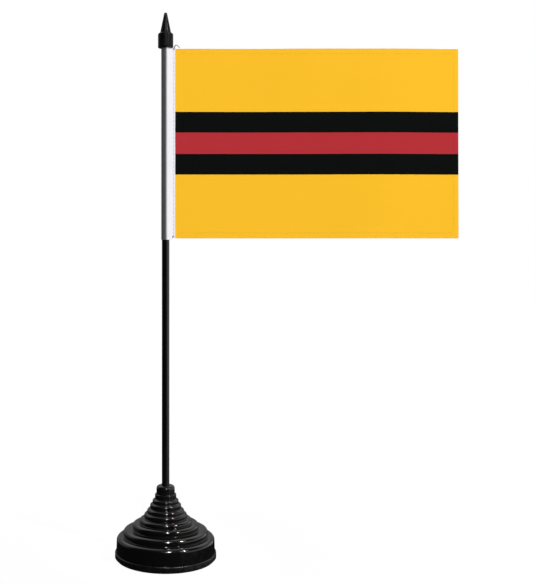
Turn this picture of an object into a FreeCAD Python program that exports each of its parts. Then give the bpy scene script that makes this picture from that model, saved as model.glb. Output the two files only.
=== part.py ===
# A desk flag on a stand: a stepped, weighted base, a pole with a spear finial, and a small printed flag whose
# hoist tape slips over the pole.
#
# +Z is up along the pole, +X points to the flag's fly, and the flag lies in the plane Y = 0.
# The origin is the centre of the base's underside. All lengths are in millimetres.

import FreeCAD, Part
import os
import Sketcher

SIZES = {
    # the base's steps, from the collar down to the drum: the rim's radius, its height, and its rounding
    "collar_r": 4.85, "collar_z": 38.4, "collar_round": 1.6,
    "step_one_r": 5.65, "step_one_z": 33.9, "step_one_round": 0.45,
    "step_two_r": 6.9, "step_two_z": 31.2, "step_two_round": 0.95,
    "step_three_r": 8.2, "step_three_z": 28.9, "step_three_round": 1.0,
    "step_four_r": 9.8, "step_four_z": 26.2, "step_four_round": 1.25,
    "step_five_r": 11.3, "step_five_z": 23.9, "step_five_round": 1.15,
    "step_six_r": 13.9, "step_six_z": 21.2, "step_six_round": 1.5,
    "step_seven_r": 17.4, "step_seven_z": 18.8, "step_seven_round": 1.5,
    "step_eight_r": 22.3, "step_eight_z": 15.5, "step_eight_round": 1.7,
    "drum_r": 25.8, "drum_z": 11.9, "drum_round": 2.0,
    "drum_foot_r": 26.1,
    # the rounding where a tread meets the riser above it
    "root_round": 0.25,
    # the base's wall, ribs and socket
    "base_wall": 1.6,
    "rib_width": 1.2,
    "rib_foot_r": 20.0,
    "socket_tube_r": 4.2,
    "socket_floor_z": 8.0,
    "socket_floor_wall": 1.2,
    "socket_clearance": 0.06,
    # the plate that closes the base, and the ballast ring that lies on it
    "plate_r": 26.75,
    "plate_floor": 1.4,
    "plate_rim_z": 3.6,
    "plate_round": 0.4,
    "plate_chamfer": 1.0,
    "plate_gap": 0.15,
    "ballast_outer_r": 22.0,
    "ballast_inner_r": 6.0,
    "ballast_height": 4.8,
    "ballast_chamfer": 0.5,
    # the pole
    "pole_r": 2.0,
    "pole_top_z": 276.4,
    "pole_chamfer": 0.3,
    # the finial: a round barrel under a slim cone
    "finial_z": 269.8,
    "finial_barrel_r": 4.05,
    "finial_barrel_z": 277.5,
    "finial_shoulder_round": 1.05,
    "finial_cone_r": 2.95,
    "finial_tip_r": 0.72,
    "finial_top_z": 288.3,
    "finial_tip_round": 0.5,
    "finial_foot_round": 0.3,
    "finial_clearance": 0.04,
    # the hoist tape: a sleeve round the pole, and the flat part sewn on the cloth
    "sleeve_inner_r": 2.12,
    "sleeve_outer_r": 2.36,
    "tape_bottom_z": 168.2,
    "tape_top_z": 269.5,
    "tape_start_x": 2.65,
    "tape_end_x": 4.95,
    "tape_thickness": 0.6,
    # the cloth
    "cloth_start_x": 5.5,
    "cloth_end_x": 155.0,
    "cloth_bottom_z": 169.05,
    "cloth_top_z": 269.05,
    "cloth_thickness": 0.3,
    # the stitches
    "thread": 0.12,
    "stitch_width": 0.3,
    "hem_stitch": 1.7,
    "hem_pitch": 2.4,
    "hem_inset": 2.6,
    "seam_stitch": 1.5,
    "seam_pitch": 2.2,
    "seam_x": 4.1,
    "tack_pitch": 0.4,
    "tack_inset": 0.6,
}
STEPS = ("one", "two", "three", "four", "five", "six", "seven", "eight")
# the first step that is wide enough to be hollow beside the socket tube
FIRST_HOLLOW_STEP = 3
RIBS = 4
TACK_STITCHES = 5


class Length:
    """A length in millimetres, with the spreadsheet expression that it comes from."""

    def __init__(self, value, text):
        self.value = value
        self.text = text

    def __add__(self, other):
        return Length(self.value + other.value, f"({self.text} + {other.text})")

    def __sub__(self, other):
        return Length(self.value - other.value, f"({self.text} - {other.text})")

    def __mul__(self, factor):
        return Length(self.value * factor, f"({self.text} * {factor})")


def size(alias):
    return Length(SIZES[alias], f"sizes.{alias}")


ZERO = Length(0.0, "0")


def make_sheet(doc):
    """The spreadsheet of driving dimensions: a name, and its value under that alias."""
    sheet = doc.addObject("Spreadsheet::Sheet", "sizes")
    for row, (alias, value) in enumerate(SIZES.items(), start=1):
        sheet.set(f"A{row}", alias)
        sheet.set(f"B{row}", str(value))
        sheet.setAlias(f"B{row}", alias)
    doc.recompute()


def bind(thing, name, length):
    """Sets a property from the spreadsheet."""
    thing.setExpression(name, length.text)


def make_body(doc, name):
    body = doc.addObject("PartDesign::Body", name)
    body.Label = name
    body.AllowCompound = True
    body.Placement = FreeCAD.Placement()
    return body


def make_sketch(body, name, plane):
    """An empty sketch on one of the body's own origin planes."""
    sketch = body.newObject("Sketcher::SketchObject", name)
    found = [f for f in body.Origin.OriginFeatures if f.Role == plane]
    sketch.AttachmentSupport = [(found[0], "")]
    sketch.MapMode = "FlatFace"
    return sketch


def pin_point(sketch, edge, across, up):
    """Holds the edge's first point at a distance across and up from the sketch's origin."""
    for kind, length, axis in (("DistanceX", across, -2), ("DistanceY", up, -1)):
        if length is ZERO:
            sketch.addConstraint(Sketcher.Constraint("PointOnObject", edge, 1, axis))
            continue
        index = sketch.addConstraint(Sketcher.Constraint(kind, -1, 1, edge, 1, length.value))
        sketch.setExpression(f"Constraints[{index}]", length.text)


def draw_outline(sketch, points):
    """Adds a closed outline of straight edges to the sketch. Each point is (across, up)."""
    first = sketch.GeometryCount
    count = len(points)
    corners = [FreeCAD.Vector(across.value, up.value, 0) for across, up in points]
    for i in range(count):
        sketch.addGeometry(Part.LineSegment(corners[i], corners[(i + 1) % count]))
    for i in range(count):
        following = first + (i + 1) % count
        sketch.addConstraint(Sketcher.Constraint("Coincident", first + i, 2, following, 1))
    for i, (across, up) in enumerate(points):
        pin_point(sketch, first + i, across, up)


def box_outline(low_across, high_across, low_up, high_up):
    return [
        (low_across, low_up),
        (high_across, low_up),
        (high_across, high_up),
        (low_across, high_up),
    ]


def revolve(body, name, points):
    """Turns an outline of (radius, height) points about the pole's axis."""
    sketch = make_sketch(body, f"{name}_outline", "XZ_Plane")
    draw_outline(sketch, points)
    feature = body.newObject("PartDesign::Revolution", name)
    feature.Profile = sketch
    feature.ReferenceAxis = (sketch, ["V_Axis"])
    feature.Angle = 360
    return feature


def rings(shape, places):
    """The names of the shape's level circular edges at the given (radius, height) places."""
    names = []
    for number, edge in enumerate(shape.Edges, start=1):
        if not isinstance(edge.Curve, Part.Circle):
            continue
        for radius, height in places:
            right_size = abs(edge.Curve.Radius - radius.value) < 0.001
            if right_size and abs(edge.Curve.Center.z - height.value) < 0.001:
                names.append(f"Edge{number}")
    return names


def round_rings(doc, body, name, base, places, radius):
    """Fillets the base feature's circular edges at the given places."""
    return dress_rings(doc, body, ("PartDesign::Fillet", "Radius"), name, base, places, radius)


def chamfer_rings(doc, body, name, base, places, width):
    """Chamfers the base feature's circular edges at the given places."""
    return dress_rings(doc, body, ("PartDesign::Chamfer", "Size"), name, base, places, width)


def dress_rings(doc, body, kind, name, base, places, amount):
    feature_type, property_name = kind
    doc.recompute()
    edges = rings(base.Shape, places)
    if len(edges) != len(places):
        raise RuntimeError(f"{name}: {len(edges)} edges were found for {len(places)} places")
    feature = body.newObject(feature_type, name)
    feature.Base = (base, edges)
    bind(feature, property_name, amount)
    doc.recompute()
    return feature


def step_names():
    """The names of the base's rims, from the top step down to the drum."""
    return [f"step_{word}" for word in STEPS] + ["drum"]


def rim(name):
    """(radius, height) of one of the base's rims."""
    return size(f"{name}_r"), size(f"{name}_z")


def stairs(names, inset=ZERO):
    """The points of a flight of steps down through the named rims, each tread and riser set in by inset.

    The last rim's riser isn't part of it.
    """
    points = []
    for name, name_below in zip(names, names[1:]):
        radius, height = rim(name)
        tread_below = rim(name_below)[1]
        points.append((radius - inset, height - inset))
        points.append((radius - inset, tread_below - inset))
    radius, height = rim(names[-1])
    return points + [(radius - inset, height - inset)]


def make_base_shell(doc):
    """The moulded cone: a thin stepped shell, the socket tube inside it, and ribs between the two."""
    body = make_body(doc, "base_shell")
    wall = size("base_wall")
    foot = size("plate_floor")
    foot_r = size("drum_foot_r")
    names = step_names()
    hollow_names = names[FIRST_HOLLOW_STEP - 1:]
    bore = size("pole_r") + size("socket_clearance")
    tube = size("socket_tube_r")
    floor = size("socket_floor_z")
    tube_foot = floor - size("socket_floor_wall")
    ceiling = rim(hollow_names[0])[1] - wall
    first_tread = rim(names[0])[1]

    collar = [(bore, size("collar_z")), rim("collar"), (size("collar_r"), first_tread)]
    outside = stairs(names) + [(foot_r, foot)]
    inside = [(foot_r - wall, foot)] + stairs(hollow_names, wall)[::-1]
    socket = [(tube, ceiling), (tube, tube_foot), (ZERO, tube_foot), (ZERO, floor), (bore, floor)]
    shell = revolve(body, "shell", collar + outside + inside + socket)

    shell = make_ribs(doc, body, shell, hollow_names)
    for name in ["collar"] + names:
        shell = round_rings(doc, body, f"{name}_rim", shell, [rim(name)], size(f"{name}_round"))
    roots = [(rim(name)[0], rim(name_below)[1]) for name, name_below in zip(names, names[1:])]
    round_rings(doc, body, "step_roots", shell, roots, size("root_round"))
    return body


def make_ribs(doc, body, shell, names):
    """Radial ribs under the steps. Their feet press the ballast ring down."""
    half_wall = size("base_wall") * 0.5
    tube_middle = size("socket_tube_r") - half_wall
    foot = size("plate_floor") + size("ballast_height")
    top = rim(names[0])[1] - half_wall
    inner_edge = [(tube_middle, foot), (tube_middle, top)]
    under_steps = stairs(names, half_wall)[:-1]
    sketch = make_sketch(body, "rib_outline", "XZ_Plane")
    draw_outline(sketch, inner_edge + under_steps + [(size("rib_foot_r"), foot)])
    rib = body.newObject("PartDesign::Pad", "rib")
    rib.Profile = sketch
    rib.SideType = "Symmetric"
    bind(rib, "Length", size("rib_width"))
    doc.recompute()
    ribs = body.newObject("PartDesign::PolarPattern", "ribs")
    ribs.Originals = [rib]
    ribs.Axis = (sketch, ["V_Axis"])
    ribs.Angle = 360
    ribs.Occurrences = RIBS
    body.Tip = ribs
    doc.recompute()
    if ribs.Shape.Volume < shell.Shape.Volume:
        raise RuntimeError("the ribs took material away from the shell")
    return ribs


def make_base_plate(doc):
    """The dished disc that closes the base. Its rim stands round the drum's foot."""
    body = make_body(doc, "base_plate")
    outer = size("plate_r")
    well = size("drum_foot_r") + size("plate_gap")
    top = size("plate_rim_z")
    floor = size("plate_floor")
    outline = [(ZERO, ZERO), (outer, ZERO), (outer, top), (well, top), (well, floor), (ZERO, floor)]
    plate = revolve(body, "plate", outline)
    plate = chamfer_rings(doc, body, "plate_foot", plate, [(outer, ZERO)], size("plate_chamfer"))
    round_rings(doc, body, "plate_rim", plate, [(outer, top)], size("plate_round"))
    return body


def make_ballast(doc):
    """The steel ring that keeps the stand upright. It lies on the base plate under the ribs."""
    body = make_body(doc, "ballast_ring")
    low = size("plate_floor")
    high = low + size("ballast_height")
    inner = size("ballast_inner_r")
    outer = size("ballast_outer_r")
    ring = revolve(body, "ring", box_outline(inner, outer, low, high))
    chamfer_rings(doc, body, "ring_edges", ring, [(outer, low), (outer, high)], size("ballast_chamfer"))
    return body


def make_pole(doc):
    """A plain rod from the floor of the base's socket to the inside of the finial."""
    body = make_body(doc, "pole")
    low = size("socket_floor_z")
    high = size("pole_top_z")
    radius = size("pole_r")
    rod = revolve(body, "rod", [(ZERO, low), (radius, low), (radius, high), (ZERO, high)])
    chamfer_rings(doc, body, "rod_ends", rod, [(radius, low), (radius, high)], size("pole_chamfer"))
    return body


def make_finial(doc):
    """The spear: a barrel bored to fit over the pole, and a slim cone above its rounded shoulder."""
    body = make_body(doc, "finial")
    foot = size("finial_z")
    barrel = size("finial_barrel_r")
    shoulder = size("finial_barrel_z")
    tip = size("finial_tip_r")
    top = size("finial_top_z")
    bore = size("pole_r") + size("finial_clearance")
    bore_top = size("pole_top_z")
    spear = revolve(
        body,
        "spear",
        [
            (bore, foot),
            (barrel, foot),
            (barrel, shoulder),
            (size("finial_cone_r"), shoulder),
            (tip, top),
            (ZERO, top),
            (ZERO, bore_top),
            (bore, bore_top),
        ],
    )
    spear = round_rings(doc, body, "shoulder", spear, [(barrel, shoulder)], size("finial_shoulder_round"))
    spear = round_rings(doc, body, "tip", spear, [(tip, top)], size("finial_tip_round"))
    round_rings(doc, body, "foot", spear, [(barrel, foot)], size("finial_foot_round"))
    return body


def make_sleeve(doc):
    """The part of the hoist tape that wraps round the pole."""
    body = make_body(doc, "pole_sleeve")
    inner, outer = size("sleeve_inner_r"), size("sleeve_outer_r")
    revolve(body, "sleeve", box_outline(inner, outer, size("tape_bottom_z"), size("tape_top_z")))
    return body


def make_panel(doc, name, across, up, thickness):
    """A flat upright panel that is centred on the plane Y = 0. across and up are its (low, high) limits."""
    body = make_body(doc, name)
    sketch = make_sketch(body, f"{name}_outline", "XZ_Plane")
    draw_outline(sketch, box_outline(*across, *up))
    panel = body.newObject("PartDesign::Pad", f"{name}_panel")
    panel.Profile = sketch
    panel.SideType = "Symmetric"
    bind(panel, "Length", thickness)
    return body


def make_stitches(doc, name, corner, stitch, direction, pitch, count, face):
    """A row of stitches on both faces of a panel.

    corner is the first stitch's low (x, z), and stitch is its size along x and z.
    face is half the panel's thickness.
    """
    body = make_body(doc, name)
    (x, z), (along_x, along_z) = corner, stitch
    outer = face + size("thread")
    sketch = make_sketch(body, f"{name}_section", "XY_Plane")
    bind(sketch, "AttachmentOffset.Base.z", z)
    draw_outline(sketch, box_outline(x, x + along_x, face, outer))
    draw_outline(sketch, box_outline(x, x + along_x, outer * -1, face * -1))
    bar = body.newObject("PartDesign::Pad", f"{name}_stitch")
    bar.Profile = sketch
    bind(bar, "Length", along_z)
    doc.recompute()
    row = body.newObject("PartDesign::LinearPattern", f"{name}_row")
    row.Originals = [bar]
    row.Direction = (sketch, ["H_Axis" if direction == "X" else "N_Axis"])
    row.Mode = "Spacing"
    bind(row, "Offset", pitch)
    row.Occurrences = count
    body.Tip = row
    doc.recompute()
    expected = 2 * count * along_x.value * along_z.value * SIZES["thread"]
    if abs(row.Shape.Volume - expected) > 0.01 * expected:
        raise RuntimeError(f"{name}: the row of stitches has the wrong volume")
    return body


def whole_stitches(run, pitch):
    """How many stitches fit along a run."""
    return int(run.value / pitch.value)


def make_hems(doc):
    """The rows of stitches along the cloth's top, bottom and fly edges."""
    inset, pitch = size("hem_inset"), size("hem_pitch")
    left = size("cloth_start_x") + inset
    right = size("cloth_end_x") - inset
    low = size("cloth_bottom_z") + inset
    high = size("cloth_top_z") - inset
    face = size("cloth_thickness") * 0.5
    level = (size("hem_stitch"), size("stitch_width"))
    upright = (size("stitch_width"), size("hem_stitch"))
    across = whole_stitches(right - left, pitch)
    up = whole_stitches(high - low - pitch * 2, pitch)
    return [
        make_stitches(doc, "top_hem_thread", (left, high), level, "X", pitch, across, face),
        make_stitches(doc, "bottom_hem_thread", (left, low), level, "X", pitch, across, face),
        make_stitches(doc, "fly_hem_thread", (right, low + pitch), upright, "Z", pitch, up, face),
    ]


def make_tape_threads(doc):
    """The seam down the tape, and the short tacks that lock its two ends."""
    seam = size("seam_x")
    inset = size("tack_inset")
    left = size("tape_start_x") + inset
    pitch, tack_pitch = size("seam_pitch"), size("tack_pitch")
    tack_height = tack_pitch * TACK_STITCHES
    low = size("tape_bottom_z") + inset
    high = size("tape_top_z") - inset - tack_height
    face = size("tape_thickness") * 0.5
    upright = (size("stitch_width"), size("seam_stitch"))
    level = (seam - left, size("stitch_width"))
    up = whole_stitches(high - low - tack_height, pitch)
    return [
        make_stitches(doc, "hoist_seam_thread", (seam, low + tack_height), upright, "Z", pitch, up, face),
        make_stitches(doc, "top_tack_thread", (left, high), level, "Z", tack_pitch, TACK_STITCHES, face),
        make_stitches(doc, "bottom_tack_thread", (left, low), level, "Z", tack_pitch, TACK_STITCHES, face),
    ]


def make_flag(doc):
    """The hoist tape, the cloth and their threads."""
    tape_across = (size("tape_start_x"), size("tape_end_x"))
    tape_up = (size("tape_bottom_z"), size("tape_top_z"))
    cloth_across = (size("cloth_start_x"), size("cloth_end_x"))
    cloth_up = (size("cloth_bottom_z"), size("cloth_top_z"))
    tape = make_panel(doc, "hoist_tape", tape_across, tape_up, size("tape_thickness"))
    cloth = make_panel(doc, "flag_cloth", cloth_across, cloth_up, size("cloth_thickness"))
    return [make_sleeve(doc), tape, cloth] + make_tape_threads(doc) + make_hems(doc)


def check_document(doc, bodies):
    """Stops if anything in the document failed, or if a sub-part has no sound solid."""
    doc.recompute()
    for thing in doc.Objects:
        if "Invalid" in thing.State or "Error" in thing.State:
            raise RuntimeError(f"{thing.Name} failed: {thing.State}")
    for body in bodies:
        if body.Shape.isNull() or not body.Shape.isValid() or not body.Shape.Solids:
            raise RuntimeError(f"{body.Label} has no sound solid")


def main():
    doc = FreeCAD.newDocument("desk_flag_stand")
    make_sheet(doc)
    bodies = [make_base_shell(doc), make_base_plate(doc), make_ballast(doc), make_pole(doc), make_finial(doc)]
    bodies += make_flag(doc)
    check_document(doc, bodies)
    os.makedirs("parts", exist_ok=True)
    for body in bodies:
        body.Shape.exportStep(f"parts/{body.Label}.step")
        print(f"{body.Label}: {len(body.Shape.Solids)} solids, {body.Shape.Volume:.1f} mm3")


main()
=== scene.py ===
"""The looks of a desk flag stand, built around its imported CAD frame. Lengths are in metres."""
import math
from bisect import bisect_right

import bmesh
import bpy
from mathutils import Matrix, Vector


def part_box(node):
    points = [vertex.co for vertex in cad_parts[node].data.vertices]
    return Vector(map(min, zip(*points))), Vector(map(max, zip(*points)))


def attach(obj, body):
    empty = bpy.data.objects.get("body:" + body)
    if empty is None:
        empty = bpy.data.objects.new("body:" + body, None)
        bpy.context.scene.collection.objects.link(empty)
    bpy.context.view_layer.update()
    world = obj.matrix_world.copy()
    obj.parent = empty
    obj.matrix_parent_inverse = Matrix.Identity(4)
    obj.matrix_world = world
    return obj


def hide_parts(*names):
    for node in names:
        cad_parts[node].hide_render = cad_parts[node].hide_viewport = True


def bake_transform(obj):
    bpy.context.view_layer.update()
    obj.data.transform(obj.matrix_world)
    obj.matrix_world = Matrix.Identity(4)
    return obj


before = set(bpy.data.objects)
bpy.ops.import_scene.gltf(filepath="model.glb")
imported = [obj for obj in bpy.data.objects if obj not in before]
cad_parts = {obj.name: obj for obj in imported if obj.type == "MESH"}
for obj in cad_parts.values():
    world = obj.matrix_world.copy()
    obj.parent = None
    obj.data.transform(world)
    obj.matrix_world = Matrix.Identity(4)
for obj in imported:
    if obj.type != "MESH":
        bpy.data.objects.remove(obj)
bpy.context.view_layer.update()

MM = 0.001
# The UV map that keeps each vertex's place on the cloth as it was cut, in metres.
FLAT_MAP = "flat"

# Colours, in linear light.
YELLOW = (0.985, 0.535, 0.022, 1)
BLACK = (0.0012, 0.0026, 0.0018, 1)
RED = (0.466, 0.029, 0.0375, 1)
PLASTIC_BLACK = (0.0018, 0.0016, 0.0017, 1)
TAPE_WHITE = (0.86, 0.853, 0.90, 1)
# Dark grey of the tape's single layer round the pole: the pole showing through, and painted shade.
TAPE_SHOW_THROUGH_AND_SHADE = (0.058, 0.055, 0.058, 1)
THREAD_GREY = (0.22, 0.22, 0.235, 1)
THREAD_PALE = (0.66, 0.66, 0.69, 1)
STEEL = (0.46, 0.46, 0.47, 1)
UNDYED = (0.6, 0.58, 0.54, 1)
WHITE = (1, 1, 1, 1)
FLOOR_WHITE = (0.9, 0.9, 0.9, 1)

# The stripes from the bottom up: where each starts, in ninths of the flag's height, and its colour.
STRIPES = ((0, YELLOW), (3, BLACK), (4, RED), (5, BLACK), (6, YELLOW))
NINTHS = 9

CAMERA_PLACE = (0, -480 * MM, 155 * MM)
CAMERA_SENSOR, CAMERA_LENS = 36, 55.9
CAMERA_SHIFT = (0.1753, -0.0469)

# The lights stand in two directions, at azimuths in degrees: 0 is in front of the flag, and positive is to
# the right. In each there is a lamp that lights the whole stand, and a narrow spotlight aimed at the base.
LIGHT_AZIMUTHS = {"front": 8.0, "right": 49.0}
LIGHT_ELEVATION = 38.0
LIGHT_AIM = Vector((0, 0, 14 * MM))
LAMP_AWAY, LAMP_RADIUS, LAMP_POWER = 1.8, 75 * MM, 8.8
SPOT_AWAY, SPOT_RADIUS, SPOT_POWER = 0.9, 30 * MM, 26
SPOT_ANGLE, SPOT_BLEND = 4.4, 0.5

# The surroundings: where each part starts and ends, on one axis of a ray's direction, and how bright it is.
BACK_Y, BACK_Z = (-0.05, 0.35), (-0.16, -0.02)
BACK_RISE_Z, BACK_BRIGHT = (0.35, 0.6), (0.3, 1.0)
SIDE_X, SIDE_LOW_Z, SIDE_HIGH_Z = (0.5, 0.72), (-0.25, -0.18), (0.34, 0.18)
OVERHEAD_Z, OVERHEAD_BRIGHT = (0.72, 0.98), 0.3
DIMMEST = 0.012

# The floor: its size, its gap below the base, its glow, and the shadow's share, which fades out further away.
FLOOR_HALF = 3.0
FLOOR_GAP = 0.05 * MM
FLOOR_GLOW = 1.03
SHADOW_SHARE, SHADOW_FAR, SHADOW_NEAR = 0.10, 0.25, 0.06

# How far each pattern in a material takes to repeat.
CLOTH_WEAVE = 0.30 * MM
TAPE_WEAVE = 0.34 * MM
PLY_PITCH = 0.22 * MM
TURNED_PITCH = 0.4 * MM

# The cloth: its thickness, how far it reaches into the tape, and the spacing of its grid lines.
CLOTH_THICK = 0.20 * MM
CLOTH_TUCK = 0.7 * MM
CLOTH_GRID, CLOSEST_LINES = 0.9 * MM, 0.05 * MM
# Its hems: how wide and how much thicker they are, half the width of the step at their inner edge, and how
# far from the tape they grow to their thickness.
HEM_WIDE = 4.2 * MM
HEM_EXTRA = 0.20 * MM
HEM_STEP = 0.12 * MM
HEM_STARTS = (0.6 * MM, 2.2 * MM)
# The groove that the hem's stitches draw in, and how far from the tape it grows to its depth.
GROOVE_WIDE = 0.45 * MM
GROOVE_DEEP = 0.035 * MM
GROOVE_STARTS = (1 * MM, 4 * MM)
# The cloth's two waves: how high the slow one is, the quick one's height beside it, how many waves there are
# across and up the flag, and where the quick one starts, in radians. They grow over this share of its width.
WAVE_HIGH = 0.75 * MM
QUICK_SHARE = 0.3
SLOW_WAVES, QUICK_WAVES = (1.05, 0.10), (2.4, -0.35)
QUICK_START = 0.8
WAVES_GROW = (0.02, 0.55)

# The tape: its thickness, what the layer turned in along both edges adds, how far
# its sewn faces stand from the cloth's middle, and the spacing of its grid lines.
TAPE_THICK = 0.20 * MM
TAPE_EXTRA = 0.07 * MM
TAPE_FACE = CLOTH_THICK / 2 + TAPE_THICK + TAPE_EXTRA
TAPE_GRID, TAPE_ROWS = 0.17 * MM, 0.55 * MM
# Its folded section: how far it stands out from the middle of the sleeve's wall, where its flat part starts,
# and how round that corner is.
TAPE_GAP = 0.03 * MM
TAPE_FLAT_X = 3.55 * MM
TAPE_CORNER = 0.45 * MM
# Half the length of the single layer round the pole's far side, and half the width of its change to two. On the
# tape's colour this layer is painted dark grey, partly the pole showing through and partly painted shade, and
# the wide change paints a soft shading gradient.
FAR_SIDE = 3.95 * MM
DOUBLED_EDGE = 1.1 * MM
# The tape's foot is drawn up beside the cloth by this much, from this X on, over this share of its height.
FOOT_RISE = 1.0 * MM
FOOT_START_X = 2.6 * MM
FOOT_SHARE = 0.05
# The puckers that its seam leaves.
PUCKER_WIDE = 0.7 * MM
PUCKER_HIGH = 0.03 * MM

# The stitches: their length, their spacing and the thread's width.
STITCH, STITCH_PITCH = 1.7 * MM, 2.4 * MM
SEAM_STITCH, SEAM_PITCH = 1.5 * MM, 2.2 * MM
THREAD_WIDE = 0.24 * MM
STITCH_RINGS = 9
THREAD_SIDES = 8
THREAD_TURNS = [2 * math.pi * side / THREAD_SIDES for side in range(THREAD_SIDES)]
# Each stitch is a little flat, with blunt ends. In widths of thread, its ends are this low in the cloth, and
# its middle is this far above them.
STITCH_FLAT = 0.85
STITCH_BLUNT = 0.04
STITCH_SUNK, STITCH_RISE = 0.28, 0.42
# The tacks, as (x, z) from the tape's outer corners: where the first stitch starts, how far it runs, and the
# step to the next one.
BOTTOM_TACK, BOTTOM_TACK_RUN = (-1.95 * MM, 0.45 * MM), (1.75 * MM, 1.5 * MM)
TOP_TACK, TOP_TACK_RUN = (-1.5 * MM, -0.35 * MM), (1.3 * MM, -0.9 * MM)
TACK_STEP = (-0.17 * MM, 0.20 * MM)
TACK_STITCHES = 3
# The thread's loose end, as (x, z) from the top corner: its start, the point it bows towards and its tip. The
# tip is thinner by the taper's share.
TAIL_BOW = ((-0.5 * MM, -0.4 * MM), (0.2 * MM, 3.4 * MM), (2.4 * MM, 0.1 * MM))
TAIL_WIDE = 0.62 * MM
TAIL_TAPER = 0.45

cloth_low, cloth_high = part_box("flag_cloth")
tape_low, tape_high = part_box("hoist_tape")
sleeve_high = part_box("pole_sleeve")[1]
pole_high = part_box("pole")[1]
top_hem_low, top_hem_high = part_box("top_hem_thread")
seam_low, seam_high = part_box("hoist_seam_thread")
CLOTH_WIDTH = cloth_high.x - tape_high.x
CLOTH_HEIGHT = cloth_high.z - cloth_low.z
TAPE_HEIGHT = tape_high.z - tape_low.z
HEM_SEAM = cloth_high.z - (top_hem_low.z + top_hem_high.z) / 2
HOIST_SEAM_X = (seam_low.x + seam_high.x) / 2
TAPE_RADIUS = (sleeve_high.x + pole_high.x) / 2 + TAPE_GAP


# ---------------------------------------------------------------- camera, light and floor


def add_camera():
    """Level and straight in front of the pole. Its shift brings the flag into the frame."""
    data = bpy.data.cameras.new("camera")
    data.sensor_width = CAMERA_SENSOR
    data.lens = CAMERA_LENS
    data.shift_x, data.shift_y = CAMERA_SHIFT
    data.dof.use_dof = False
    camera = link("camera", data)
    camera.location = CAMERA_PLACE
    camera.rotation_euler = (math.radians(90), 0, 0)
    bpy.context.scene.camera = camera


def place_light(name, data, azimuth, away):
    """Aims a light at the base from one of the two directions."""
    light = link(name, data)
    across, up = math.radians(azimuth), math.radians(LIGHT_ELEVATION)
    direction = Vector((math.sin(across) * math.cos(up), -math.cos(across) * math.cos(up), math.sin(up)))
    light.location = LIGHT_AIM + direction * away
    light.rotation_euler = direction.to_track_quat("Z", "Y").to_euler()


def add_lights():
    """A small round lamp from each direction, and a narrow spotlight beside it."""
    for side, azimuth in LIGHT_AZIMUTHS.items():
        lamp = bpy.data.lights.new(f"key_{side}", "AREA")
        lamp.shape = "DISK"
        lamp.size = 2 * LAMP_RADIUS
        lamp.energy = LAMP_POWER
        place_light(lamp.name, lamp, azimuth, LAMP_AWAY)
    for side, azimuth in LIGHT_AZIMUTHS.items():
        spot = bpy.data.lights.new(f"spot_{side}", "SPOT")
        spot.spot_size = math.radians(SPOT_ANGLE)
        spot.spot_blend = SPOT_BLEND
        spot.shadow_soft_size = SPOT_RADIUS
        spot.energy = SPOT_POWER
        place_light(spot.name, spot, azimuth, SPOT_AWAY)


def add_world():
    """White surroundings behind and beside the stand, dim ones in front, and a plain white background."""
    world = bpy.data.worlds.new("studio")
    bpy.context.scene.world = world
    world.use_nodes = True
    graph = Graph(world.node_tree)
    direction = graph.node("ShaderNodeTexCoord").outputs["Generated"]
    parts = graph.parts(direction)
    x, y, z = parts["X"], parts["Y"], parts["Z"]
    back_light = graph.times(graph.ease(y, *BACK_Y), graph.ease(z, *BACK_Z))
    back_light = graph.times(back_light, graph.spread(z, *BACK_BRIGHT, *BACK_RISE_Z))
    side_height = graph.times(graph.ease(z, *SIDE_LOW_Z), graph.ease(z, *SIDE_HIGH_Z))
    side_light = graph.times(graph.ease(x, *SIDE_X), side_height)
    overhead = graph.times(graph.ease(z, *OVERHEAD_Z), OVERHEAD_BRIGHT)
    strength = graph.math("MAXIMUM", back_light, side_light)
    seen = graph.node("ShaderNodeLightPath").outputs["Is Camera Ray"]
    for light in (overhead, DIMMEST, seen):
        strength = graph.math("MAXIMUM", strength, light)
    background = graph.find("BACKGROUND")
    background.inputs["Color"].default_value = WHITE
    graph.feed(background.inputs["Strength"], strength)


def add_floor():
    """A wide white floor with a faint shadow near the stand. Gloss doesn't mirror it."""
    mesh = bpy.data.meshes.new("floor")
    corners = [(x * FLOOR_HALF, y * FLOOR_HALF, 0) for x, y in ((-1, -1), (1, -1), (1, 1), (-1, 1))]
    mesh.from_pydata(corners, [], [(0, 1, 2, 3)])
    floor = link("floor", mesh)
    floor.location.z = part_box("base_plate")[0].z - FLOOR_GAP
    material, graph = new_material("pale_floor")
    surface = graph.find("BSDF_PRINCIPLED")
    surface.inputs["Base Color"].default_value = FLOOR_WHITE
    surface.inputs["Roughness"].default_value = 0.9
    surface.inputs["Specular IOR Level"].default_value = 0.0
    glow = graph.node("ShaderNodeEmission", {"Color": WHITE, "Strength": FLOOR_GLOW})
    place = object_place(graph)
    away = graph.node("ShaderNodeVectorMath", {0: place}, operation="LENGTH").outputs["Value"]
    shadow = graph.times(graph.ease(away, SHADOW_FAR, SHADOW_NEAR), SHADOW_SHARE)
    shaders = {1: glow.outputs["Emission"], 2: surface.outputs["BSDF"]}
    mixed = graph.node("ShaderNodeMixShader", {0: shadow, **shaders})
    graph.feed(graph.find("OUTPUT_MATERIAL").inputs["Surface"], mixed.outputs["Shader"])
    mesh.materials.append(material)
    floor.visible_glossy = False


def set_colour():
    """Shows colours as they are, without a film curve."""
    settings = bpy.context.scene.view_settings
    settings.view_transform = "Standard"
    settings.look = "None"


# ---------------------------------------------------------------- node trees and materials


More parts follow.
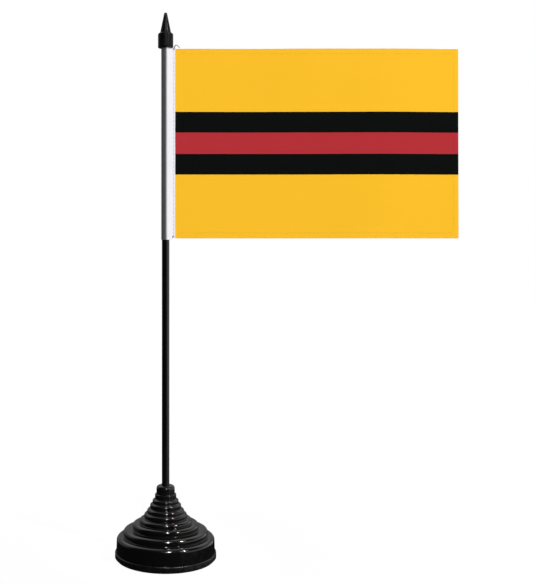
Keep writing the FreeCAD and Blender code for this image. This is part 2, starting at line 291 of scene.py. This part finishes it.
class Graph:
    """Short calls that build up a node tree."""

    def __init__(self, tree):
        self.tree = tree

    def feed(self, socket, value):
        """Links a socket to the input, or sets it to a plain value."""
        if isinstance(value, bpy.types.NodeSocket):
            self.tree.links.new(value, socket)
        else:
            socket.default_value = value

    def node(self, kind, inputs=None, **settings):
        """A new node with its settings and inputs."""
        made = self.tree.nodes.new(kind)
        for name, value in settings.items():
            setattr(made, name, value)
        for name, value in (inputs or {}).items():
            self.feed(made.inputs[name], value)
        return made

    def find(self, kind):
        """The node of this type that the tree came with."""
        return next(n for n in self.tree.nodes if n.type == kind)

    def math(self, operation, first, second=0.0):
        return self.node("ShaderNodeMath", {0: first, 1: second}, operation=operation).outputs["Value"]

    def times(self, first, second):
        return self.math("MULTIPLY", first, second)

    def spread(self, value, low, high, from_low=0.0, from_high=1.0):
        """The value, stretched from one range to another."""
        ends = {"From Min": from_low, "From Max": from_high, "To Min": low, "To Max": high}
        return self.node("ShaderNodeMapRange", {"Value": value, **ends}).outputs["Result"]

    def ease(self, value, start, end):
        """A smooth step from 0 at start to 1 at end."""
        ends = {"From Min": start, "From Max": end}
        made = self.node("ShaderNodeMapRange", {"Value": value, **ends}, interpolation_type="SMOOTHSTEP")
        return made.outputs["Result"]

    def noise(self, place, grain, detail, stretch=(1, 1, 1)):
        """Noise whose features are about one grain across, drawn out by stretch."""
        scale = tuple(1 / (grain * s) for s in stretch)
        moved = self.node("ShaderNodeMapping", {"Vector": place, "Scale": scale}).outputs["Vector"]
        made = self.node("ShaderNodeTexNoise", {"Vector": moved, "Detail": detail, "Scale": 1.0})
        return made.outputs["Fac"]

    def parts(self, vector):
        """The X, Y and Z sockets of a vector."""
        return self.node("ShaderNodeSeparateXYZ", {"Vector": vector}).outputs

    def ridges(self, coordinate, pitch):
        """Even ridges along one coordinate, from -1 to 1."""
        return self.math("SINE", self.times(coordinate, 2 * math.pi / pitch))

    def mix(self, share, first, second):
        """A blend of two colours."""
        made = self.node("ShaderNodeMix", data_type="RGBA")
        sockets = {socket.identifier: socket for socket in made.inputs}
        self.feed(sockets["Factor_Float"], share)
        self.feed(sockets["A_Color"], first)
        self.feed(sockets["B_Color"], second)
        return next(s for s in made.outputs if s.identifier == "Result_Color")

    def bump(self, height, strength, depth):
        made = self.node("ShaderNodeBump", {"Height": height, "Strength": strength, "Distance": depth})
        return made.outputs["Normal"]


def new_material(name):
    """A material with a plain Principled surface, and the graph that builds it up."""
    material = bpy.data.materials.new(name)
    material.use_nodes = True
    return material, Graph(material.node_tree)


def finish_surface(graph, colour, roughness, bump, levels):
    """Feeds the Principled surface its patterns, and sets its other levels to plain numbers."""
    surface = graph.find("BSDF_PRINCIPLED")
    graph.feed(surface.inputs["Base Color"], colour)
    graph.feed(surface.inputs["Roughness"], roughness)
    graph.feed(surface.inputs["Normal"], bump)
    for socket, value in levels.items():
        surface.inputs[socket].default_value = value


def object_place(graph):
    """Where a point lies in the object's own space."""
    return graph.node("ShaderNodeTexCoord").outputs["Object"]


def flat_place(graph):
    """Where a point lies on the cloth as it was cut, in metres."""
    return graph.node("ShaderNodeUVMap", uv_map=FLAT_MAP).outputs["UV"]


def scaled(colour, factor):
    return tuple(c * factor for c in colour[:3]) + (1,)


def moulded_plastic(name, rough, texture, streak=(1, 1, 1), shine=0.5):
    """Black plastic: a fine moulded skin, faint clouding in the colour, and rubbed and dusty patches."""
    material, graph = new_material(name)
    place = object_place(graph)
    cloud = graph.noise(place, grain=9 * MM, detail=4, stretch=streak)
    rubbed = graph.noise(place, grain=2.2 * MM, detail=6, stretch=streak)
    skin = graph.noise(place, grain=0.35 * MM, detail=2, stretch=streak)
    scuffs = graph.noise(place, grain=0.5 * MM, detail=3, stretch=(9, 1, 1))
    colour = graph.mix(cloud, scaled(PLASTIC_BLACK, 0.75), scaled(PLASTIC_BLACK, 1.35))
    patches = graph.spread(rubbed, rough * 0.72, rough * 1.4, from_low=0.3, from_high=0.7)
    marks = graph.spread(scuffs, 0.0, 0.09, from_low=0.62, from_high=0.78)
    height = graph.math("ADD", skin, graph.times(rubbed, 0.6))
    bump = graph.bump(height, strength=texture, depth=0.02 * MM)
    finish_surface(graph, colour, graph.math("ADD", patches, marks), bump, {"Specular IOR Level": shine})
    return material


def rolled_steel(name):
    """Dull plated steel, with lines turned round the ring."""
    material, graph = new_material(name)
    place = object_place(graph)
    parts = graph.parts(place)
    squares = [graph.times(parts[axis], parts[axis]) for axis in ("X", "Y")]
    from_axis = graph.math("SQRT", graph.math("ADD", *squares))
    lines = graph.ridges(from_axis, TURNED_PITCH)
    stain = graph.noise(place, grain=5 * MM, detail=5)
    colour = graph.mix(stain, scaled(STEEL, 0.8), scaled(STEEL, 1.1))
    bump = graph.bump(lines, strength=0.25, depth=0.02 * MM)
    finish_surface(graph, colour, graph.spread(stain, 0.3, 0.5), bump, {"Metallic": 1.0})
    return material


def plain_weave(graph, place, pitch):
    """The height of a plain weave: warp and weft that cross over and under by turns."""
    parts = graph.parts(place)
    over = graph.times(graph.ridges(parts["X"], pitch), graph.ridges(parts["Y"], pitch))
    slub = graph.noise(place, grain=pitch * 0.9, detail=2, stretch=(1, 7, 1))
    return graph.math("ADD", graph.times(over, 0.5), slub)


def stripes(graph, up):
    """The printed stripes over the flag's height, with edges as sharp as the print."""
    ramp = graph.node("ShaderNodeValToRGB", {"Fac": up})
    ramp.color_ramp.interpolation = "CONSTANT"
    elements = ramp.color_ramp.elements
    while len(elements) < len(STRIPES):
        elements.new(1.0)
    for element, (ninth, colour) in zip(elements, STRIPES):
        element.position = ninth / NINTHS
        element.color = colour
    return ramp.outputs["Color"]


def printed(name, fade):
    """Printed polyester. fade is how much of the print is lost: 0 on the face and more on the back."""
    material, graph = new_material(name)
    place = flat_place(graph)
    bleed = graph.spread(graph.noise(place, grain=0.25 * MM, detail=2), -0.06 * MM, 0.06 * MM)
    up = graph.math("DIVIDE", graph.math("ADD", graph.parts(place)["Y"], bleed), CLOTH_HEIGHT)
    weave = plain_weave(graph, place, CLOTH_WEAVE)
    mottle = graph.noise(place, grain=6 * MM, detail=4)
    # A little undyed yarn shows between the printed threads.
    yarn = graph.spread(weave, 0.0, 0.005, from_low=0.2, from_high=1.2)
    thin = graph.math("ADD", yarn, graph.spread(mottle, 0.0, 0.002 + fade))
    colour = graph.mix(thin, stripes(graph, up), UNDYED)
    rough = graph.spread(weave, 0.62, 0.82, from_high=1.2)
    bump = graph.bump(weave, strength=0.35, depth=0.03 * MM)
    levels = {"Specular IOR Level": 0.04, "Sheen Weight": 0.004, "Sheen Roughness": 0.5}
    finish_surface(graph, colour, rough, bump, levels)
    return material


def woven_tape(name):
    """White hoist tape. Where a single layer is drawn tight round the pole's far side, its colour is painted
    dark grey: partly the pole showing through, partly painted shade.
    """
    material, graph = new_material(name)
    place = flat_place(graph)
    weave = plain_weave(graph, place, TAPE_WEAVE)
    ribs = graph.ridges(graph.parts(place)["X"], 2 * TAPE_WEAVE)
    # Painted shade: the single layer round the pole's far side is coloured dark grey, and only the doubled tape
    # is white.
    layers = graph.node("ShaderNodeAttribute", attribute_name="doubled").outputs["Fac"]
    ragged = graph.math("ADD", layers, graph.spread(weave, -0.06, 0.06, from_high=1.2))
    unshaded_white_share = graph.ease(ragged, 0.05, 0.95)
    shade = graph.noise(place, grain=3 * MM, detail=4)
    white = graph.mix(shade, scaled(TAPE_WHITE, 0.965), scaled(TAPE_WHITE, 1.03))
    lit = graph.spread(weave, 0.0, 1.0, from_low=0.1, from_high=1.1)
    through = graph.mix(lit, TAPE_SHOW_THROUGH_AND_SHADE, scaled(TAPE_SHOW_THROUGH_AND_SHADE, 1.6))
    rough = graph.spread(weave, 0.7, 0.88, from_high=1.2)
    height = graph.math("ADD", weave, graph.times(ribs, 0.25))
    bump = graph.bump(height, strength=0.4, depth=0.04 * MM)
    # Painted shade and show-through on the single layer, white on the doubled tape.
    colour = graph.mix(unshaded_white_share, through, white)
    finish_surface(graph, colour, rough, bump, {"Specular IOR Level": 0.2, "Sheen Weight": 0.03})
    return material


def sewing_thread(name, colour):
    """Two-ply thread, with its plies wound along it. Its colour is painted darker in the grooves between the
    plies and lighter on their crests, with random tone from the fuzz.
    """
    material, graph = new_material(name)
    place = object_place(graph)
    parts = graph.parts(place)
    along = graph.math("ADD", parts["X"], graph.math("ADD", parts["Z"], graph.times(parts["Y"], 1.5)))
    plies = graph.ridges(along, PLY_PITCH)
    fuzz = graph.noise(place, grain=0.1 * MM, detail=3)
    # Painted shade in the ply grooves and painted highlight on the crests, plus random tone from the fuzz.
    painted_ply_shade = graph.math("ADD", graph.spread(plies, 0.0, 0.7, from_low=-1.0), graph.spread(fuzz, 0.0, 0.3))
    shade = graph.mix(painted_ply_shade, scaled(colour, 0.72), scaled(colour, 1.08))
    bump = graph.bump(plies, strength=0.5, depth=0.03 * MM)
    finish_surface(graph, shade, graph.spread(fuzz, 0.5, 0.75), bump, {"Sheen Weight": 0.08})
    return material


def printed_thread(name):
    """Hem thread that took the print with the cloth, so each stitch has its stripe's colour, painted darker in
    the grooves between its plies as shade.
    """
    material, graph = new_material(name)
    parts = graph.parts(flat_place(graph))
    up = graph.math("DIVIDE", parts["Y"], CLOTH_HEIGHT)
    plies = graph.ridges(graph.math("ADD", parts["X"], parts["Y"]), PLY_PITCH)
    # Painted shade: the stripe colour dims in the grooves between the plies.
    painted_ply_shade = graph.spread(plies, 0.86, 1.0, from_low=-1.0)
    dimmed = graph.node("ShaderNodeVectorMath", {0: stripes(graph, up)}, operation="SCALE")
    graph.feed(dimmed.inputs["Scale"], painted_ply_shade)
    bump = graph.bump(plies, strength=0.5, depth=0.03 * MM)
    finish_surface(graph, dimmed.outputs["Vector"], 0.55, bump, {"Specular IOR Level": 0.25})
    return material


# ---------------------------------------------------------------- shapes


def ease(value, start, end):
    """A smooth step from 0 at start to 1 at end."""
    t = min(1.0, max(0.0, (value - start) / (end - start)))
    return t * t * (3 - 2 * t)


def even_steps(low, high, step):
    """Evenly spaced values from low to high, about one step apart."""
    count = max(2, round((high - low) / step))
    return [low + (high - low) * i / count for i in range(count + 1)]


def surface_normal(middle, u, v):
    """The unit normal of a surface given by middle(u, v)."""
    step = 0.02 * MM
    across = middle(u + step, v) - middle(u - step, v)
    up = middle(u, v + step) - middle(u, v - step)
    return across.cross(up).normalized()


def link(name, data):
    """A new object in the scene."""
    made = bpy.data.objects.new(name, data)
    bpy.context.scene.collection.objects.link(made)
    return made


def build_mesh(name, points, faces, flats):
    """A smooth closed mesh with its faces turned outward. flats are its vertices' places on the flat cut."""
    mesh = bpy.data.meshes.new(name)
    mesh.from_pydata([tuple(p) for p in points], [], faces)
    layer = mesh.uv_layers.new(name=FLAT_MAP)
    for loop in mesh.loops:
        layer.data[loop.index].uv = flats[loop.vertex_index]
    work = bmesh.new()
    work.from_mesh(mesh)
    bmesh.ops.recalc_face_normals(work, faces=work.faces)
    work.to_mesh(mesh)
    work.free()
    mesh.shade_smooth()
    return link(name, mesh)


def closed_sheet(name, across, up, middle, face_thick, back_thick):
    """A sheet with two sides and rounded edges.

    middle(u, v) is its middle surface. face_thick(u, v) and back_thick(u, v) give each side's distance from it.
    """
    columns, rows = len(across), len(up)
    face, back, flats = [], [], []
    for v in up:
        for u in across:
            point = middle(u, v)
            normal = surface_normal(middle, u, v)
            face.append(point + normal * face_thick(u, v))
            back.append(point - normal * back_thick(u, v))
            flats.append((u, v))
    count = columns * rows
    faces = []
    for row in range(rows - 1):
        for column in range(columns - 1):
            a = row * columns + column
            quad = (a, a + 1, a + 1 + columns, a + columns)
            faces.append(quad)
            faces.append(tuple(count + i for i in reversed(quad)))
    bottom = list(range(columns))
    right = [row * columns + columns - 1 for row in range(1, rows)]
    top = [(rows - 1) * columns + column for column in range(columns - 2, -1, -1)]
    left = [row * columns for row in range(rows - 2, 0, -1)]
    border = bottom + right + top + left
    centre = sum(face, Vector()) / count
    edge = []
    for i, index in enumerate(border):
        before, after = border[i - 1], border[(i + 1) % len(border)]
        thick = face[index] - back[index]
        outward = (face[after] - face[before]).cross(thick).normalized()
        if outward.dot(face[index] - centre) < 0:
            outward = -outward
        edge.append((face[index] + back[index]) / 2 + outward * thick.length / 2)
        rim, rim_before = 2 * count + i, 2 * count + (i - 1) % len(border)
        faces.append((index, before, rim_before, rim))
        faces.append((rim, rim_before, count + before, count + index))
    return build_mesh(name, face + back + edge, faces, flats + flats + [flats[index] for index in border])


def tube_faces(first, rings):
    """The faces of a capped thread whose rings of points start at the index first."""
    faces = []
    for start in range(first, first + (rings - 1) * THREAD_SIDES, THREAD_SIDES):
        for side in range(THREAD_SIDES):
            a, b = start + side, start + (side + 1) % THREAD_SIDES
            faces.append((a, b, b + THREAD_SIDES, a + THREAD_SIDES))
    for start in (first, first + (rings - 1) * THREAD_SIDES):
        faces.append(tuple(range(start, start + THREAD_SIDES)))
    return faces


def stitch_grains(name, starts, place, length):
    """A row of stitches. Each one is a grain of thread that comes up through the cloth and goes down again.

    starts are where they begin along the row. place(s) gives (point, normal, direction, flat place) there.
    """
    points, flats, faces = [], [], []
    for start in starts:
        faces += tube_faces(len(points), STITCH_RINGS)
        for ring in range(STITCH_RINGS):
            share = ring / (STITCH_RINGS - 1)
            point, normal, direction, flat = place(start + length * share)
            sideways = normal.cross(direction).normalized()
            swell = math.sin(math.pi * (STITCH_BLUNT + (1 - 2 * STITCH_BLUNT) * share)) ** 0.5
            lift = THREAD_WIDE * (STITCH_RISE * math.sin(math.pi * share) - STITCH_SUNK)
            for turn in THREAD_TURNS:
                outward = sideways * math.cos(turn) + normal * math.sin(turn) * STITCH_FLAT
                points.append(point + normal * lift + outward * swell * THREAD_WIDE / 2)
                flats.append(flat)
    return build_mesh(name, points, faces, flats)


def thread_tail(name, path):
    """A round thread along a path, thinner at its loose end."""
    last = len(path) - 1
    points, flats = [], []
    for ring, point in enumerate(path):
        direction = path[min(ring + 1, last)] - path[max(ring - 1, 0)]
        sideways = direction.cross(Vector((0, 1, 0))).normalized()
        upright = direction.cross(sideways).normalized()
        radius = TAIL_WIDE / 2 * (1 - TAIL_TAPER * ring / last)
        for turn in THREAD_TURNS:
            points.append(point + (sideways * math.cos(turn) + upright * math.sin(turn)) * radius)
            flats.append((0, (point - path[0]).length))
    return build_mesh(name, points, tube_faces(0, len(path)), flats)


def bow(start, over, end, count=16):
    """Points along a bow from start to end that leans towards over."""
    shares = [i / count for i in range(count + 1)]
    return [start.lerp(over, share).lerp(over.lerp(end, share), share) for share in shares]


def join(name, parts):
    """One object made of several."""
    work = bmesh.new()
    for part in parts:
        work.from_mesh(part.data)
    mesh = bpy.data.meshes.new(name)
    work.to_mesh(mesh)
    work.free()
    for part in parts:
        bpy.data.objects.remove(part)
    mesh.shade_smooth()
    return link(name, mesh)


def finish_stitches(parts, node, body, thread):
    """Joins the stitches that stand for one CAD thread, and gives them their material."""
    stitches = join(node.replace("thread", "stitches"), parts)
    stitches.data.materials.append(thread)
    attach(stitches, body)
    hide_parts(node)


# ---------------------------------------------------------------- the cloth


def wave(share, rise, waves, start=0.0):
    """A sine wave, with so many waves across and up the flag."""
    return math.sin(2 * math.pi * (waves[0] * share + waves[1] * rise) + start)


def cloth_middle(u, v):
    """The cloth's middle surface: flat at the tape, with two slow waves that grow towards the fly."""
    share, rise = u / CLOTH_WIDTH, v / CLOTH_HEIGHT
    waves = wave(share, rise, SLOW_WAVES) + QUICK_SHARE * wave(share, rise, QUICK_WAVES, QUICK_START)
    return Vector((tape_high.x + u, WAVE_HIGH * ease(share, *WAVES_GROW) * waves, cloth_low.z + v))


def from_edge(u, v):
    """How far a point is from the nearest of the cloth's three hemmed edges."""
    return min(v, CLOTH_HEIGHT - v, CLOTH_WIDTH - u)


def hem_share(u, v):
    """1 on the turned hem along the top, bottom and fly, and 0 inside it and beside the tape."""
    inside = ease(from_edge(u, v), HEM_WIDE - HEM_STEP, HEM_WIDE + HEM_STEP)
    return (1 - inside) * ease(u, *HEM_STARTS)


def stitch_groove(u, v):
    """How deep the stitches draw the cloth in: a shallow groove along the hem's seam."""
    away = (from_edge(u, v) - HEM_SEAM) / GROOVE_WIDE
    return math.exp(-away * away) * GROOVE_DEEP * ease(u, *GROOVE_STARTS)


def face_thick(u, v):
    return CLOTH_THICK / 2 - stitch_groove(u, v)


def back_thick(u, v):
    return CLOTH_THICK / 2 + HEM_EXTRA * hem_share(u, v) - stitch_groove(u, v)


def cloth_steps(low, high, hem_lines):
    """Grid lines across the cloth, closer together where the hem's step and its seam are."""
    lines = set(even_steps(low, high, CLOTH_GRID))
    for line in hem_lines:
        lines.update(line + offset * HEM_STEP for offset in (-2, -1, 0, 1, 2))
    ordered = sorted(x for x in lines if low <= x <= high)
    kept = [ordered[0]]
    for line in ordered[1:]:
        if line - kept[-1] > CLOSEST_LINES:
            kept.append(line)
    kept[-1] = high
    return kept


def build_cloth():
    """The printed cloth, hemmed on three sides and tucked into the tape on the fourth."""
    across = cloth_steps(-CLOTH_TUCK, CLOTH_WIDTH, [CLOTH_WIDTH - HEM_WIDE, CLOTH_WIDTH - HEM_SEAM])
    hem_lines = [HEM_WIDE, CLOTH_HEIGHT - HEM_WIDE, HEM_SEAM, CLOTH_HEIGHT - HEM_SEAM]
    up = cloth_steps(0.0, CLOTH_HEIGHT, hem_lines)
    cloth = closed_sheet("printed_cloth", across, up, cloth_middle, face_thick, back_thick)
    cloth.data.materials.append(printed("printed_face", fade=0.0))
    cloth.data.materials.append(printed("printed_back", fade=0.10))
    for polygon in cloth.data.polygons:
        polygon.material_index = 1 if polygon.normal.y > 0.5 else 0
    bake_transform(cloth)
    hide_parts("flag_cloth")
    return cloth


def hem_row(node):
    """A hem's row of stitches: run(s), which gives (u, v) on the cloth, then the first s and the last."""
    low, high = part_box(node)
    seam = (low + high) / 2
    if high.z - low.z > high.x - low.x:
        return lambda s: (seam.x - tape_high.x, s - cloth_low.z), low.z, high.z
    return lambda s: (s - tape_high.x, seam.z - cloth_low.z), low.x, high.x


def cloth_side_place(run, side):
    """For stitches on the cloth's face, side 1, or its back, side -1. run(s) gives (u, v) along the row."""
    ahead = 0.1 * MM

    def place(s):
        u, v = run(s)
        middle = cloth_middle(u, v)
        normal = surface_normal(cloth_middle, u, v) * side
        away = face_thick(u, v) if side > 0 else back_thick(u, v)
        direction = (cloth_middle(*run(s + ahead)) - middle).normalized()
        return middle + normal * away, normal, direction, (u, v)

    return place


def build_hem_stitches():
    """The three rows of lockstitch that hold the hems."""
    thread = printed_thread("hem_thread")
    for node in ("top_hem_thread", "bottom_hem_thread", "fly_hem_thread"):
        run, first, last = hem_row(node)
        starts = even_steps(first, last - STITCH, STITCH_PITCH)
        parts = [stitch_grains("side", starts, cloth_side_place(run, side), STITCH) for side in (1, -1)]
        finish_stitches(parts, node, "flag", thread)


# ---------------------------------------------------------------- the tape


def arc(start, end, step):
    """Points round the pole at the tape's radius, between two angles. step is a share of the whole arc."""
    angles = [start + (end - start) * share for share in even_steps(0, 1, step)]
    return [Vector((math.cos(angle), math.sin(angle))) * TAPE_RADIUS for angle in angles]


def tape_outline():
    """The tape's middle line in plan, from its back edge round the pole to its front edge."""
    layer = (CLOTH_THICK + TAPE_THICK) / 2
    corner = Vector((TAPE_FLAT_X, -layer))
    lean = math.atan2(corner.y, corner.x) - math.acos(TAPE_RADIUS / corner.length)
    touch = Vector((math.cos(lean), math.sin(lean))) * TAPE_RADIUS
    bend_in = corner + (touch - corner).normalized() * TAPE_CORNER
    bend_out = corner + Vector((TAPE_CORNER, 0))
    front = arc(-math.pi, lean, step=0.02)
    front += [touch.lerp(bend_in, share) for share in (0.25, 0.5, 0.75)]
    front += bow(bend_in, corner, bend_out, count=10)
    front.append(Vector((tape_high.x, -layer)))
    back = [Vector((p.x, -p.y)) for p in reversed(front[1:])]
    return back + front


def measured(points):
    """The distance along a line of points to each of them."""
    lengths = [0.0]
    for before, after in zip(points, points[1:]):
        lengths.append(lengths[-1] + (after - before).length)
    return lengths


TAPE_LINE = tape_outline()
TAPE_LENGTHS = measured(TAPE_LINE)


def along_tape(u):
    """The point of the tape's middle line at the distance u from its back edge, past its ends too."""
    index = min(max(bisect_right(TAPE_LENGTHS, u) - 1, 0), len(TAPE_LINE) - 2)
    share = (u - TAPE_LENGTHS[index]) / (TAPE_LENGTHS[index + 1] - TAPE_LENGTHS[index])
    return TAPE_LINE[index].lerp(TAPE_LINE[index + 1], share)


def tape_middle(u, v):
    """The tape's middle surface. u is the distance from its back edge, and v the height above its foot."""
    point = along_tape(u)
    rise = FOOT_RISE * ease(point.x, FOOT_START_X, tape_high.x) * (1 - ease(v / TAPE_HEIGHT, 0, FOOT_SHARE))
    return Vector((point.x, point.y, tape_low.z + v + rise))


def doubled(u):
    """1 where the tape's turned-in edge makes it two layers thick, and 0 round the far side of the pole."""
    end = TAPE_LENGTHS[-1]
    layer_edge = end / 2 - FAR_SIDE
    return 1 - ease(min(u, end - u), layer_edge - DOUBLED_EDGE, layer_edge + DOUBLED_EDGE)


def pucker(u, v):
    """The small puckers that the seam's stitches leave in the tape."""
    away = (along_tape(u).x - HOIST_SEAM_X) / PUCKER_WIDE
    return PUCKER_HIGH * math.exp(-away * away) * math.cos(2 * math.pi * v / SEAM_PITCH)


def tape_outside(u, v):
    return TAPE_THICK / 2 + TAPE_EXTRA * doubled(u) + pucker(u, v)


def tape_inside(u, v):
    return TAPE_THICK / 2


def build_tape():
    """The hoist tape: one strip folded round the pole, with its two edges closed on the cloth."""
    across = even_steps(0.0, TAPE_LENGTHS[-1], TAPE_GRID)
    up = even_steps(0.0, TAPE_HEIGHT, TAPE_ROWS)
    tape = closed_sheet("hoist_wrap", across, up, tape_middle, tape_outside, tape_inside)
    mesh = tape.data
    layer = mesh.uv_layers[FLAT_MAP]
    from_back = {loop.vertex_index: layer.data[loop.index].uv[0] for loop in mesh.loops}
    attribute = mesh.attributes.new("doubled", "FLOAT", "POINT")
    attribute.data.foreach_set("value", [doubled(from_back[vertex.index]) for vertex in mesh.vertices])
    mesh.materials.append(woven_tape("white_tape"))
    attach(tape, "hoist")
    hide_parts("hoist_tape", "pole_sleeve")
    return tape


def tape_side_place(x, z, direction, side):
    """For stitches that run straight from (x, z) on the tape's front, side 1, or its back, side -1."""
    first, normal = Vector((x, -TAPE_FACE * side, z)), Vector((0, -side, 0))

    def place(s):
        return first + direction * s, normal, direction, (x, z + s)

    return place


def build_seam_stitches(thread):
    """The row that closes the tape on the cloth, on both sides."""
    starts = even_steps(seam_low.z, seam_high.z - SEAM_STITCH, SEAM_PITCH)
    parts = []
    for side in (1, -1):
        place = tape_side_place(HOIST_SEAM_X, 0, Vector((0, 0, 1)), side)
        parts.append(stitch_grains("side", starts, place, SEAM_STITCH))
    finish_stitches(parts, "hoist_seam_thread", "hoist", thread)


def build_tack(node, end, corner, run, thread, loose=()):
    """A tack: a few close stitches side by side that lock an end of the seam, on both sides of the tape.

    end is the height of that end. corner is where the first stitch starts, and run is how far each one goes.
    """
    parts = list(loose)
    stitch = Vector((run[0], 0, run[1]))
    for side in (1, -1):
        for number in range(TACK_STITCHES):
            x = tape_high.x + corner[0] + TACK_STEP[0] * number
            z = end + corner[1] + TACK_STEP[1] * number
            place = tape_side_place(x, z, stitch.normalized(), side)
            parts.append(stitch_grains("tack", [0.0], place, stitch.length))
    finish_stitches(parts, node, "hoist", thread)


def build_tacks(thread):
    """The tacks at the top and the bottom of the tape, slanted across its outer corners."""
    build_tack("bottom_tack_thread", tape_low.z, BOTTOM_TACK, BOTTOM_TACK_RUN, thread)
    y = -CLOTH_THICK / 2 - TAPE_THICK
    path = bow(*(Vector((tape_high.x + x, y, tape_high.z + z)) for x, z in TAIL_BOW))
    tail = thread_tail("thread_tail", path)
    build_tack("top_tack_thread", tape_high.z, TOP_TACK, TOP_TACK_RUN, thread, [tail])


# ---------------------------------------------------------------- the CAD pieces' finish


def finish_node(node, material):
    """Gives a CAD piece its material."""
    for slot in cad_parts[node].material_slots:
        slot.material = material


def finish_cad_pieces():
    finish_node("base_shell", moulded_plastic("base_gloss", rough=0.11, texture=0.06))
    finish_node("base_plate", moulded_plastic("plate_satin", rough=0.28, texture=0.25))
    finish_node("pole", moulded_plastic("pole_gloss", rough=0.22, texture=0.12, streak=(1, 1, 30)))
    finish_node("finial", moulded_plastic("finial_satin", rough=0.36, texture=0.35, shine=0.2))
    finish_node("ballast_ring", rolled_steel("ballast_plating"))


def main():
    set_colour()
    add_camera()
    add_world()
    add_floor()
    add_lights()
    finish_cad_pieces()
    cloth = build_cloth()
    build_hem_stitches()
    tape = build_tape()
    build_seam_stitches(sewing_thread("pale_thread", THREAD_PALE))
    build_tacks(sewing_thread("grey_thread", THREAD_GREY))


main()
